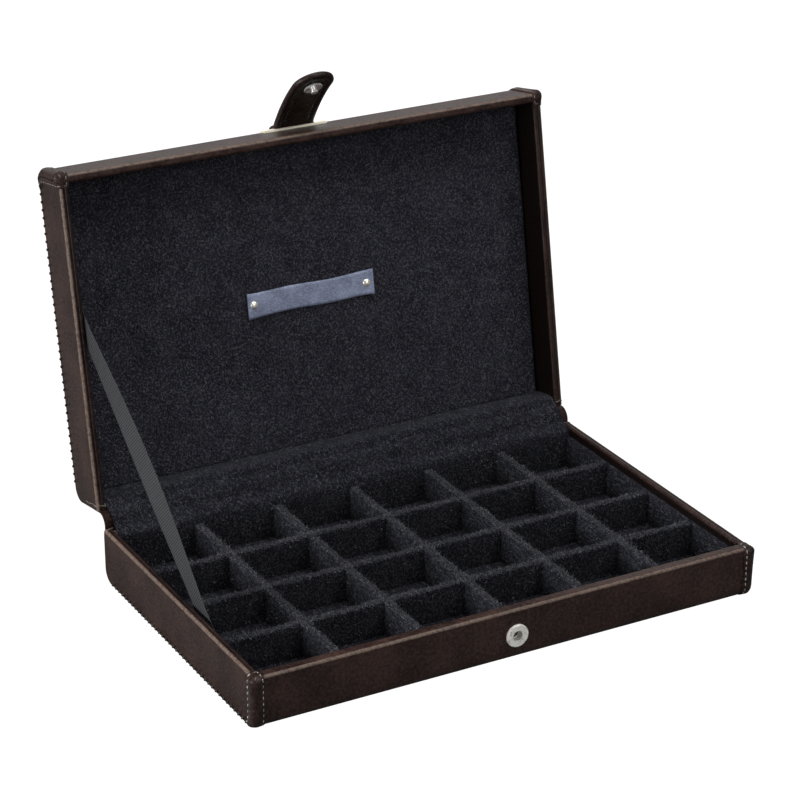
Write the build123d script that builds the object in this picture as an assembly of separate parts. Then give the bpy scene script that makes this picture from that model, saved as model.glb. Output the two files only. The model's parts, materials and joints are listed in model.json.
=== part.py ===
from build123d import *
from math import asin, atan2, degrees, hypot
import os

# A leather jewellery case with a tray of small compartments, drawn standing open.
# The origin is the middle of the underside. X runs along the case, Y from the front to the
# hinge at the back, and Z up. All sizes are in millimetres.

# Case
case_width = 250.0
case_depth = 156.4
base_height = 25.4
lid_height = 25.0
edge_round = 6.0          # where the front and back turn under the bottom or over the lid
rim_round = 1.6
rim_gap = 0.3             # air between the two rims when the lid is shut
open_angle = 100.0        # swing of the lid, from shut until the ribbon stops it
hinge_back = 5.8          # hinge line, behind the back of the base
hinge_rise = 0.6          # hinge line, above the rim of the base

# Leather and the boards inside it
leather = 1.0
base_end_board = 4.0      # front and back walls of the base
base_side_board = 2.4
lid_wall_board = 2.4
bottom_board = 2.5
lid_panel_board = 2.5
panel_lap = 16.0          # how far the front and back leathers lap under the bottom or over the lid

# Corner bindings
binding = 0.7
binding_end_leg = 4.6     # on the front face
binding_side_leg = 6.2    # on the side face
binding_round = 2.2
binding_low = 0.6         # its lower end stays this far above the underside

# Lining
floor_pad = 1.5
liner = 1.4
rim_show = 4.2            # leather showing above the velvet of the tray
back_pile = 1.2           # velvet over the back rims
back_velvet_base = 2.4
back_velvet_lid = 1.4
lid_padding = 6.0
lid_padding_round = 2.0

# Dividers
columns = 6
rows = 4
divider = 4.0
divider_round = 1.1
lap_clearance = 0.05
soft_round = 0.8

# Leather spine and velvet strip of the hinge
spine_lap = 7.0
spine_inset = 1.0
lining_strip = 1.2

# Ribbon stay
ribbon_width = 11.0
ribbon_thick = 0.6
ribbon_gap = 0.05
ribbon_lid_gap = 0.25
ribbon_base_y = -13.0     # where its middle crosses the rim of the base
ribbon_lid_reach = 83.0   # the same on the lid, from the back edge of the lid
ribbon_tuck = 15.0

# Label strip on the lid padding
label_width = 67.0
label_depth = 12.0
label_thick = 0.8
label_y = 1.2
label_rivet_x = 30.0
label_rivet_head = 4.2
label_rivet_rise = 1.1
label_rivet_shank = 1.6

# Closing tab
clasp_x = 1.2             # middle of the tab and the snap, right of the middle of the case
tab_width = 20.5
tab_leather = 1.5         # each of its two leathers
tab_root = 18.0           # root of the tab above the rim of the lid
tab_gap = 0.1             # air between the tab and the plate under it
tab_lean = 41.0           # turn of the root from square to the lid front
tab_curl = 16.5           # bend of the tab from its root to the snap
tab_tip = 11.0            # from the snap to the tip
tab_root_clear = 1.5      # the inner leather starts this far from the root
tail_length = 10.0        # fixed end of the tab on top of the lid

# Plate under the tab
plate_width = 32.5
plate_thick = 0.9
plate_low = 16.5          # lower edge of the plate above the rim of the lid
plate_leg = 12.0
plate_rivet_x = 13.2
plate_rivet_back = 6.0
plate_rivet_head = 4.0
plate_rivet_rise = 0.9
plate_rivet_shank = 1.8
rivet_clearance = 0.05

# Snap fastener
snap_height = 12.7        # above the underside
socket_flange = 10.7
socket_rise = 1.2
socket_bore = 5.0
socket_cup = 6.6
socket_depth = 3.2
socket_floor = 0.6
socket_post = 2.4
washer = 9.0
washer_thick = 0.8
snap_hole_clearance = 0.1
stud_flange = 9.0
stud_flange_thick = 0.8
stud_knob = 3.6
stud_neck = 2.8
stud_reach = 2.0
stud_post = 2.2
snap_seat = 0.4           # between the two flanges when they are snapped together
cap = 12.0
cap_rise = 1.5
cap_rim = 0.5
metal_round = 0.3

# Places worked out from the sizes above
out_x = case_width / 2
out_y = case_depth / 2
lid_rim = base_height + rim_gap
lid_top = lid_rim + lid_height
hinge_y = out_y + hinge_back
hinge_z = base_height + hinge_rise
hinge_line = Axis((0, hinge_y, hinge_z), (1, 0, 0))
pad_top = leather + bottom_board + floor_pad
divider_top = base_height - rim_show
lid_pad_top = leather + lid_panel_board + lid_padding
tab_thick = 2 * tab_leather
margin = 50.0             # overshoot of cutting blocks


class Tray:
    """One half of the case, drawn with its panel down and its rim up."""

    def __init__(self, height, end_board, side_board, panel_board, back_velvet):
        self.height = height
        self.end_board = end_board
        self.side_board = side_board
        self.side_in = out_x - 2 * leather - side_board
        self.front_in = out_y - 2 * leather - end_board
        self.back_board_in = out_y - leather - end_board
        self.back_in = self.back_board_in - back_velvet
        self.panel_top = leather + panel_board


base = Tray(base_height, base_end_board, base_side_board, bottom_board, back_velvet_base)
lid = Tray(lid_height, lid_wall_board, lid_wall_board, lid_panel_board, back_velvet_lid)


def rect(x0, x1, y0, y1):
    """Rectangle between two corners."""
    return Pos((x0 + x1) / 2, (y0 + y1) / 2) * Rectangle(x1 - x0, y1 - y0)


def block(x0, x1, y0, y1, z0, z1):
    """Box between two corners."""
    middle = Pos((x0 + x1) / 2, (y0 + y1) / 2, (z0 + z1) / 2)
    return middle * Box(x1 - x0, y1 - y0, z1 - z0)


def rounded(face, radius, *corners):
    """Round the corners of a face that lie nearest to the given points."""
    picked = [face.vertices().sort_by_distance(Vector(*corner))[0] for corner in corners]
    return fillet(picked, radius)


def along_x(section, half_width):
    """Extrude a section drawn in Y and Z to both sides of the middle."""
    return extrude(Plane.YZ * section, amount=half_width, both=True)


def along_y(section, half_depth):
    """Extrude a section drawn in X and Z to both sides of the middle."""
    return extrude(Plane.XZ * section, amount=half_depth, both=True)


def on_side(part, side):
    """Keep a part drawn on the right, or mirror it to the left."""
    return part if side > 0 else mirror(part, about=Plane.YZ)


def swing_open(part):
    """Swing a part of the shut lid to its open place."""
    return part.rotate(hinge_line, -open_angle)


def lid_part(part):
    """Turn a part drawn as a tray over, set it on the base and swing it open."""
    return swing_open(Pos(0, 0, lid_top) * mirror(part, about=Plane.XY))


# Covers and boards of one tray

def outline(t, grow):
    """Outline of a tray in Y and Z, grown by a thickness, with its lower corners round."""
    y = out_y + grow
    return rounded(rect(-y, y, -grow, t.height), edge_round + grow, (-y, -grow), (y, -grow))


def wall_core(t):
    """Section of the front board, in Y and Z."""
    y = out_y - leather
    core = rect(-y, -y + t.end_board, leather, t.height - leather) & outline(t, -leather)
    tops = [(-y, t.height - leather), (-y + t.end_board, t.height - leather)]
    return rounded(core, rim_round - leather, *tops)


def side_core(t):
    """Section of the right board, in X and Z."""
    tops = [(t.side_in + leather, t.height - leather), (out_x - leather, t.height - leather)]
    core = rect(t.side_in + leather, out_x - leather, leather, t.height - leather)
    return rounded(core, rim_round - leather, *tops)


def panel_core(t):
    """Section of the panel board, in Y and Z."""
    core = rect(-t.front_in - leather, t.back_board_in, leather, t.panel_top)
    return core & outline(t, -leather)


def front_cover(t):
    """Front leather: under the bottom, up the front, over the rim and down inside."""
    skin = rect(-out_y, -t.front_in, 0, t.height)
    skin = rounded(skin, rim_round, (-out_y, t.height), (-t.front_in, t.height))
    skin += rect(-out_y, -out_y + panel_lap, 0, leather)
    skin = (skin & outline(t, 0)) - wall_core(t) - panel_core(t)
    return along_x(skin, out_x - leather)


def back_cover(t):
    """Back leather: under the bottom and up the back, to the edge of the velvet."""
    skin = rect(t.back_board_in, out_y, 0, t.height)
    skin += rect(out_y - panel_lap, out_y, 0, leather)
    skin = (skin & outline(t, 0)) - outline(t, -leather)
    return along_x(skin, out_x - leather)


def side_cover(t, side):
    """Flat side leather, turned over the rim and down inside."""
    tops = [(t.side_in, t.height), (out_x, t.height)]
    skin = rounded(rect(t.side_in, out_x, 0, t.height), rim_round, *tops)
    skin -= side_core(t)
    skin -= rect(t.side_in, out_x - leather, 0, t.panel_top)
    hook = along_y(skin, out_y) & case_block(t, 0)
    hook -= block(0, out_x - leather, -out_y, -t.front_in, 0, t.height)
    hook -= block(0, out_x - leather, t.back_board_in, out_y, 0, t.height - leather)
    return on_side(hook, side)


def case_block(t, grow):
    """Outer form of one tray, grown by a thickness on its faces."""
    return along_x(outline(t, grow), out_x + grow)


def panel_cover():
    """Leather of the underside, or of the top of the lid."""
    x = out_x - leather
    return block(-x, x, -out_y + panel_lap, out_y - panel_lap, 0, leather)


def front_board(t):
    return along_x(wall_core(t), out_x - leather)


def back_board(t):
    core = rect(t.back_board_in, out_y - leather, leather, t.height - back_pile)
    return along_x(core & outline(t, -leather), out_x - leather)


def side_board(t, side):
    zone = block(0, out_x, -t.front_in, t.back_board_in, 0, t.height)
    return on_side(along_y(side_core(t), out_y) & zone, side)


def panel_board(t):
    return along_x(panel_core(t), t.side_in + leather)


def corner_binding(t, side):
    """Strip of leather over one upright corner at the front."""
    corner = (out_x + binding, -out_y - binding)
    plan = rect(out_x - binding_end_leg, corner[0], corner[1], -out_y + binding_side_leg)
    plan = rounded(plan, binding_round, corner)
    zone = Pos(0, 0, binding_low) * extrude(plan, amount=t.height - binding_low)
    return on_side((zone & case_block(t, binding)) - case_block(t, 0), side)


def back_liner(t, low):
    """Velvet up the inside of the back wall and over its rim."""
    inner = rect(t.back_in, t.back_board_in, low, t.height)
    over = rect(t.back_in, out_y - leather, t.height - back_pile, t.height)
    return along_x(rounded(inner + over, soft_round, (t.back_in, t.height)), t.side_in)


# Lining and dividers of the base

cell_x = base.side_in - liner
cell_front = -base.front_in + liner
cell_back = base.back_in
pitch_x = (2 * cell_x + divider) / columns
pitch_y = (cell_back - cell_front + divider) / rows


def base_floor():
    x = base.side_in
    return block(-x, x, -base.front_in, base.back_board_in, base.panel_top, pad_top)


def front_liner():
    section = rect(-base.front_in, cell_front, pad_top, divider_top)
    return along_x(rounded(section, soft_round, (cell_front, divider_top)), base.side_in)


def side_liner(side):
    section = rounded(rect(cell_x, base.side_in, pad_top, divider_top),
                      soft_round, (cell_x, divider_top))
    strip = along_y(section, out_y)
    zone = block(0, out_x, cell_front, cell_back, 0, base_height)
    return on_side(strip & zone, side)


def divider_face():
    """Section of a divider across its length, with a rounded top."""
    face = rect(-divider / 2, divider / 2, pad_top, divider_top)
    tops = [(-divider / 2, divider_top), (divider / 2, divider_top)]
    return rounded(face, divider_round, *tops)


def row_y(row):
    return cell_front - divider / 2 + pitch_y * row


def column_x(column):
    return -cell_x - divider / 2 + pitch_x * column


lap_height = (pad_top + divider_top) / 2
slot = divider / 2 + lap_clearance


def long_divider(row):
    """Divider along the case, slotted from above for each cross divider."""
    part = Pos(0, row_y(row), 0) * along_x(divider_face(), cell_x)
    for column in range(1, columns):
        x = column_x(column)
        part -= block(x - slot, x + slot, -out_y, out_y, lap_height, base_height)
    return part


def cross_divider(column):
    """Divider from front to back, slotted from below for each long divider."""
    part = Pos(column_x(column), 0, 0) * along_y(divider_face(), out_y)
    part &= block(-out_x, out_x, cell_front, cell_back, 0, base_height)
    for row in range(1, rows):
        y = row_y(row)
        part -= block(-out_x, out_x, y - slot, y + slot, 0, lap_height)
    return part


# Hinge: a leather spine outside and a velvet strip inside, both bent about the hinge line

def band(centre, radius, thick, start, sweep):
    """Part of a ring in Y and Z, from its inner radius outwards."""
    inner = CenterArc(centre, radius, start, sweep)
    outer = CenterArc(centre, radius + thick, start, sweep)
    ends = [Line(inner @ 0, outer @ 0), Line(inner @ 1, outer @ 1)]
    return make_face([inner, outer] + ends)


def hinge_spine():
    """Leather strip lapped onto the backs of the base and the lid."""
    half = out_x - spine_inset
    bend = band((hinge_y, hinge_z), hinge_back - leather, leather, 180 - open_angle, open_angle)
    base_leg = rect(out_y, out_y + leather, base_height - spine_lap, hinge_z)
    lid_leg = rect(out_y, out_y + leather, hinge_z, lid_rim + spine_lap)
    return along_x(bend + base_leg, half) + swing_open(along_x(lid_leg, half))


def hinge_lining():
    """Velvet strip between the back rims."""
    start = 180 - open_angle + degrees(asin((hinge_rise - rim_gap) / hinge_back))
    end = 180 + degrees(asin(hinge_rise / (hinge_back + lining_strip)))
    strip = band((hinge_y, hinge_z), hinge_back, lining_strip, start, end - start)
    return along_x(strip, min(base.side_in, lid.side_in)) - hinge_spine()


def ribbon_stay():
    """Flat ribbon from the left wall of the base to the left wall of the lid."""
    half = ribbon_thick / 2
    low = Vector(-cell_x + ribbon_gap + half, ribbon_base_y, base_height)
    high_shut = Vertex(-lid.side_in + ribbon_lid_gap + half, out_y - ribbon_lid_reach, lid_rim)
    high = swing_open(high_shut).center()
    run = high - low
    start = low - run.normalized() * ribbon_tuck
    flat = Plane(origin=start, x_dir=run, z_dir=run.cross(Vector(0, 0, 1)))
    length = run.length + 2 * ribbon_tuck
    return flat * Pos(length / 2, 0, 0) * Box(length, ribbon_width, ribbon_thick)


# Lid lining and label strip

def disc(diameter, low, high):
    return Pos(0, 0, (low + high) / 2) * Cylinder(diameter / 2, high - low)


def dome(width, rise):
    """Low dome standing on Z = 0."""
    radius = ((width / 2) ** 2 + rise ** 2) / (2 * rise)
    ball = Pos(0, 0, rise - radius) * Sphere(radius)
    return ball & block(-width, width, -width, width, 0, width)


def flat_head(width, rise):
    """Low round head with a bevelled edge, standing on Z = 0."""
    head = disc(width, 0, rise)
    return chamfer(head.faces().sort_by(Axis.Z)[-1].edges(), rise - metal_round)


def rivet(head, shank, reach):
    """A head standing on Z = 0 with its shank below."""
    return head + disc(shank, -reach, 0)


def label_places():
    return [Pos(side * label_rivet_x, label_y, lid_pad_top + label_thick) for side in (-1, 1)]


label_shank = label_thick + lid_padding / 2


def label_holes():
    bore = Cylinder(label_rivet_shank / 2 + rivet_clearance, 2 * (label_shank + rivet_clearance))
    return [place * bore for place in label_places()]


def lid_pad():
    """Padded velvet panel of the lid."""
    x = lid.side_in
    pad = block(-x, x, -lid.front_in, lid.back_board_in, lid.panel_top, lid_pad_top)
    upper = pad.faces().sort_by(Axis.Z)[-1]
    pad = fillet(upper.edges().sort_by(Axis.Y)[:-1], lid_padding_round)
    return pad - label_holes()


def label_strip():
    strip = block(-label_width / 2, label_width / 2, label_y - label_depth / 2,
                  label_y + label_depth / 2, lid_pad_top, lid_pad_top + label_thick)
    return strip - label_holes()


def label_rivets():
    domed = rivet(dome(label_rivet_head, label_rivet_rise), label_rivet_shank, label_shank)
    return Compound(children=[place * domed for place in label_places()])


# Closing tab, drawn with the lid shut

tab_y = -out_y - plate_thick - tab_gap
tab_z = lid_rim + tab_root
seat = socket_rise + stud_flange_thick + snap_seat      # inner leather off the base, snapped
seat_run = out_y + seat + tab_y                          # outward from the root to the snap
seat_drop = tab_z - snap_height
tab_chord = hypot(seat_run, seat_drop)
tab_bend = tab_chord / 2 / Vector(1, 0).rotate(Axis.Z, tab_curl / 2).Y
snap_turn = tab_lean + tab_curl
shut_turn = degrees(atan2(seat_drop, seat_run)) - tab_lean - tab_curl / 2


def outward(turn):
    """Direction off the outer face of the tab, where the tab has turned so far."""
    return Vector(0, 0, 1).rotate(Axis.X, turn)


tab_start = Vector(clasp_x, tab_y, tab_z)
tab_centre = tab_start - outward(tab_lean) * tab_bend
snap_point = tab_centre + outward(snap_turn) * tab_bend
tab_plane = Plane(origin=snap_point, x_dir=(1, 0, 0), z_dir=outward(snap_turn))


def tab_outline():
    """Plan of the tab on its straight end: parallel sides and a round tip."""
    tip = tab_tip - tab_width / 2
    shape = rect(-tab_width / 2, tab_width / 2, -tip, margin)
    shape += Pos(0, -tip) * Circle(tab_width / 2)
    return tab_plane * extrude(shape, amount=margin, both=True)


def tab_skin(depth, skip):
    """One leather of the tab, from a depth above its inner face, with its start left out."""
    centre = (tab_centre.Y, tab_centre.Z)
    late = degrees(skip / tab_bend)
    curve = band(centre, tab_bend + depth, tab_leather, 90 + tab_lean + late, tab_curl - late)
    straight = block(-margin, margin, -tab_tip, 0, depth, depth + tab_leather)
    skin = (Pos(clasp_x, 0, 0) * along_x(curve, tab_width) + tab_plane * straight) & tab_outline()
    skin -= tab_plane * disc(stud_flange, -stud_flange_thick, 0)
    return skin - tab_plane * Cylinder(stud_post / 2 + rivet_clearance, margin)


def tab_tail():
    """Bend and fixed end of the outer leather, over the plate on the lid."""
    lid_skin = case_block(lid, plate_thick + tab_leather) - case_block(lid, plate_thick)
    half = tab_width / 2
    back = -out_y + edge_round + tail_length
    zone = block(clasp_x - half, clasp_x + half, -out_y - margin, back, -margin,
                 lid_height - tab_root)
    strip = lid_skin & zone
    free = Pos(0, tab_y, lid_height - tab_root) * Rot(-tab_lean, 0, 0)
    strip -= free * block(-margin, margin, -margin, 0, -margin, margin)
    return strip - plate_holes()


# Plate and its rivets, drawn as a tray

def plate_rivet_places(depth):
    y = -out_y + edge_round + plate_rivet_back
    flip = Rot(180, 0, 0)
    sides = [Pos(clasp_x + side * plate_rivet_x, y, -plate_thick) * flip for side in (-1, 1)]
    return sides + [Pos(clasp_x, y, -plate_thick - depth) * flip]


rivet_reach = plate_thick + leather + lid_panel_board / 2


def plate_holes():
    bore = Cylinder(plate_rivet_shank / 2 + rivet_clearance,
                    2 * (rivet_reach + tab_leather + rivet_clearance))
    return [place * bore for place in plate_rivet_places(tab_leather)]


def tab_plate():
    """Metal plate folded over the front edge of the lid."""
    half = plate_width / 2
    zone = block(clasp_x - half, clasp_x + half, -out_y - margin, -out_y + edge_round + plate_leg,
                 -margin, lid_height - plate_low)
    sheet = case_block(lid, plate_thick) - case_block(lid, 0)
    return (sheet & zone) - plate_holes()


def plate_rivets():
    left, right, middle = plate_rivet_places(tab_leather)
    head = flat_head(plate_rivet_head, plate_rivet_rise)
    short = rivet(head, plate_rivet_shank, rivet_reach)
    tall = rivet(head, plate_rivet_shank, rivet_reach + tab_leather)
    return Compound(children=[left * short, right * short, middle * tall])


# Snap fastener

socket_plane = Plane(origin=(clasp_x, -out_y, snap_height), x_dir=(1, 0, 0), z_dir=(0, -1, 0))


def snap_socket():
    """Ring with a cup let into the front wall, and the post that holds it."""
    ring = disc(socket_flange, 0, socket_rise)
    ring = chamfer(ring.faces().sort_by(Axis.Z)[-1].edges(), metal_round)
    body = ring + disc(socket_cup, -socket_depth, 0)
    body -= disc(socket_bore, -socket_depth + socket_floor, socket_rise)
    body += disc(socket_post, -leather - base_end_board, -socket_depth)
    return socket_plane * body


def snap_holes():
    """Room for the cup, its post and the washer in the front wall."""
    cup = disc(socket_cup + snap_hole_clearance, -socket_depth - snap_hole_clearance / 2, margin)
    post = disc(socket_post + snap_hole_clearance, -leather - base_end_board, 0)
    back = -leather - base_end_board
    return socket_plane * (cup + post + disc(washer, back, back + washer_thick))


def snap_washer():
    back = -leather - base_end_board
    ring = disc(washer, back, back + washer_thick)
    return socket_plane * (ring - disc(socket_post, back, back + washer_thick))


def snap_stud():
    """Flange, neck and round knob on the inner face of the tab, and its post."""
    body = disc(stud_flange, -stud_flange_thick, 0)
    body = chamfer(body.faces().sort_by(Axis.Z)[0].edges(), metal_round)
    knob_low = -stud_flange_thick - stud_reach
    knob = disc(stud_knob, knob_low, knob_low + stud_reach / 2)
    knob = chamfer(knob.edges().filter_by(GeomType.CIRCLE), metal_round)
    body += knob + disc(stud_neck, knob_low + stud_reach / 2 - metal_round, -stud_flange_thick)
    return tab_plane * (body + disc(stud_post, 0, tab_thick))


def snap_cap():
    """Low dome on the outer face of the tab."""
    body = disc(cap, 0, cap_rim) + Pos(0, 0, cap_rim) * dome(cap, cap_rise)
    return tab_plane * Pos(0, 0, tab_thick) * body


def base_nodes():
    nodes = {
        "base_underside_leather": panel_cover(),
        "base_bottom_board": panel_board(base),
        "base_front_board": front_board(base) - snap_holes(),
        "base_back_board": back_board(base),
        "base_front_leather": front_cover(base) - snap_holes(),
        "base_back_leather": back_cover(base),
        "base_floor_pad": base_floor(),
        "base_front_liner": front_liner(),
        "base_back_liner": back_liner(base, pad_top),
        "snap_socket": snap_socket(),
        "snap_socket_washer": snap_washer(),
        "hinge_spine": hinge_spine(),
        "hinge_lining": hinge_lining(),
        "ribbon_stay": ribbon_stay(),
    }
    for name, side in (("left", -1), ("right", 1)):
        nodes[f"base_{name}_board"] = side_board(base, side)
        nodes[f"base_{name}_leather"] = side_cover(base, side)
        nodes[f"base_{name}_liner"] = side_liner(side)
        nodes[f"base_{name}_binding"] = corner_binding(base, side)
    for row in range(1, rows):
        nodes[f"long_divider_{row}"] = long_divider(row)
    for column in range(1, columns):
        nodes[f"cross_divider_{column}"] = cross_divider(column)
    return nodes


def lid_nodes():
    nodes = {
        "lid_top_leather": panel_cover(),
        "lid_panel_board": panel_board(lid) - plate_holes(),
        "lid_front_board": front_board(lid),
        "lid_back_board": back_board(lid),
        "lid_front_leather": front_cover(lid) - plate_holes(),
        "lid_back_leather": back_cover(lid),
        "lid_padding": lid_pad(),
        "lid_back_liner": back_liner(lid, lid_pad_top),
        "label_strip": label_strip(),
        "label_rivets": label_rivets(),
        "tab_plate": tab_plate(),
        "tab_tail": tab_tail(),
        "plate_rivets": plate_rivets(),
    }
    for name, side in (("left", -1), ("right", 1)):
        nodes[f"lid_{name}_board"] = side_board(lid, side)
        nodes[f"lid_{name}_leather"] = side_cover(lid, side)
        nodes[f"lid_{name}_binding"] = corner_binding(lid, side)
    return {name: lid_part(part) for name, part in nodes.items()}


def tab_nodes():
    nodes = {
        "tab_inner_leather": tab_skin(0, tab_root_clear),
        "tab_outer_leather": tab_skin(tab_leather, 0),
        "snap_stud": snap_stud(),
        "snap_cap": snap_cap(),
    }
    return {name: swing_open(part) for name, part in nodes.items()}


os.makedirs("parts", exist_ok=True)
for name, part in {**base_nodes(), **lid_nodes(), **tab_nodes()}.items():
    export_step(part, f"parts/{name}.step")
root_open = swing_open(Vertex(tab_start)).center()
print("hinge line", round(hinge_y, 3), round(hinge_z, 3))
print("tab root", [round(v, 3) for v in root_open], "shut turn", round(shut_turn, 3))
print("pitch", round(pitch_x, 3), round(pitch_y, 3))
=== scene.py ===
import bmesh
import bpy
import json
import numpy as np
from math import cos, pi, radians, sin, sqrt
from mathutils import Matrix, Vector


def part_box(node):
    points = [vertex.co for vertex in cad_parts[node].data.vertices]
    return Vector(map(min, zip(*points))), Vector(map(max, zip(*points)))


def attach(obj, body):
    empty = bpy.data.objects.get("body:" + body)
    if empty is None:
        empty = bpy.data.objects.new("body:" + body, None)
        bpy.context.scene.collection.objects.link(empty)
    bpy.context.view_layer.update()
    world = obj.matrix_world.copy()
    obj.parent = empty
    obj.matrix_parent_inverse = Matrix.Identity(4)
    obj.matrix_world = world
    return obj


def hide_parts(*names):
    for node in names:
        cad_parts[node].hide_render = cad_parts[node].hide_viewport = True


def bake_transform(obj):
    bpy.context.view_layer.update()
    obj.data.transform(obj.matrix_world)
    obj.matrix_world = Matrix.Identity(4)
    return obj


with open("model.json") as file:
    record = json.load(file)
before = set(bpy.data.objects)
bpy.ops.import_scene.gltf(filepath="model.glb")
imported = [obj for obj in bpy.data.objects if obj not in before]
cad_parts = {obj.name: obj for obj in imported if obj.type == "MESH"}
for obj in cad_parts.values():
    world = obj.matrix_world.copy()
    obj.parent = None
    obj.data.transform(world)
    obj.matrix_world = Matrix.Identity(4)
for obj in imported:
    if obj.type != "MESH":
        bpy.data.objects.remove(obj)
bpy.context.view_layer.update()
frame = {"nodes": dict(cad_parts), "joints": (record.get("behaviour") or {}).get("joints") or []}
nodes = frame["nodes"]
scene = bpy.context.scene

# Leather
# Dark-brown calf leather over every board: smooth, with pores finer than a tenth of a
# millimetre, soft cloudy patches of dye and the odd long crease. It has a satin sheen.

def plug(tree, slot, value):
    """Give an input a link or a plain value."""
    if isinstance(value, Field):
        tree.links.new(value.socket, slot)
    elif slot.type == "RGBA":
        slot.default_value = (*value, 1)
    else:
        slot.default_value = value


class Field:
    """One output of a node. Arithmetic on it adds Math nodes."""

    def __init__(self, tree, socket):
        self.tree, self.socket = tree, socket

    def math(self, operation, *values):
        node = self.tree.nodes.new("ShaderNodeMath")
        node.operation = operation
        for slot, value in zip(node.inputs, values):
            plug(self.tree, slot, value)
        return Field(self.tree, node.outputs[0])

    def __add__(self, other):
        return self.math("ADD", self, other)

    def __radd__(self, other):
        return self.math("ADD", other, self)

    def __sub__(self, other):
        return self.math("SUBTRACT", self, other)

    def __rsub__(self, other):
        return self.math("SUBTRACT", other, self)

    def __mul__(self, other):
        return self.math("MULTIPLY", self, other)

    def __rmul__(self, other):
        return self.math("MULTIPLY", other, self)

    def __truediv__(self, other):
        return self.math("DIVIDE", self, other)

    def __rtruediv__(self, other):
        return self.math("DIVIDE", other, self)

    def __pow__(self, other):
        return self.math("POWER", self, other)

    def sine(self):
        return self.math("SINE", self)

    def size(self):
        return self.math("ABSOLUTE", self)

    def step(self, low, high):
        """0 below low, 1 above high, smooth between."""
        t = self.math("MINIMUM", self.math("MAXIMUM", (self - low) / (high - low), 0.0), 1.0)
        return t * t * (3 - 2 * t)


class Shading:
    """The nodes of a material or of the world."""

    def __init__(self, owner):
        owner.use_nodes = True
        self.tree = owner.node_tree

    def add(self, kind, settings=None, out=0, places=None, **values):
        """Any node: its settings, its sockets by place or by name, and one of its outputs."""
        node = self.tree.nodes.new("ShaderNode" + kind)
        for key, value in (settings or {}).items():
            setattr(node, key, value)
        for place, value in (places or {}).items():
            plug(self.tree, node.inputs[place], value)
        for key, value in values.items():
            plug(self.tree, node.inputs[key.replace("_", " ")], value)
        return Field(self.tree, node.outputs[out])

    def set(self, node, **values):
        """Plug into the sockets of a node that is there from the start."""
        for key, value in values.items():
            plug(self.tree, self.tree.nodes[node].inputs[key.replace("_", " ")], value)


class Finish(Shading):
    """A material, built up from nodes."""

    def __init__(self, name):
        self.material = bpy.data.materials.new(name)
        super().__init__(self.material)

    def place(self, stretch=(1, 1, 1), turn=(0, 0, 0)):
        """Where a point lies on its piece, stretched and turned for a pattern."""
        here = self.add("TexCoord", out=3)
        return self.add("Mapping", Vector=here, Scale=stretch, Rotation=turn)

    def noise(self, place, scale, detail=2.0, rough=0.5):
        return self.add("TexNoise", Vector=place, Scale=scale, Detail=detail, Roughness=rough)

    def blend(self, factor, a, b):
        """Colour between two colours."""
        return self.add("Mix", {"data_type": "RGBA"}, 2, {0: factor, 6: a, 7: b})

    def relief(self, height, depth, strength=1.0):
        """Normal of a surface raised by height times depth in metres."""
        return self.add("Bump", Height=height, Distance=depth, Strength=strength)

    def shade(self, **values):
        self.set("Principled BSDF", **values)
        return self.material


half_x, half_y, base_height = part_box("base_right_leather")[1]
tray_height = {"base": base_height, "lid": 0.025}
shut_gap = 0.0003
rim_radius = 0.0016
lid_rim = tray_height["base"] + shut_gap
lid_top = lid_rim + tray_height["lid"]
lid_hinge = frame["joints"][0]
open_angle = radians(lid_hinge["range_deg"][1])
pivot = np.array(lid_hinge["pos_m"])
swing = np.array(Matrix.Rotation(-open_angle, 3, "X"))


def opened(points):
    """Points of the shut lid, turned to where it stands open."""
    return (points - pivot) @ swing.T + pivot


def in_place(points, tray):
    """Set points drawn in a tray, panel down, on the base or on the open lid."""
    points = np.array(points, float)
    if tray == "base":
        return points
    points[..., 2] = lid_top - points[..., 2]
    return opened(points)


def heading(way, tray):
    """Set a direction drawn in a tray on the base or on the open lid."""
    return in_place(way, tray) - in_place((0, 0, 0), tray)


# painted shade for the pressed fold line, then the darker brown of the lining
groove_shade_brown, lining_brown = (0.003, 0.0017, 0.0014), (0.0042, 0.0022, 0.0018)
# paler edges: partly wear and partly a painted highlight along each rounded edge
wear_and_highlight_brown = (0.13, 0.094, 0.076)
wear_and_highlight_width, wear_and_highlight_end = 0.00034, 0.00004  # in from the outermost line of a rounded edge


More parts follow.
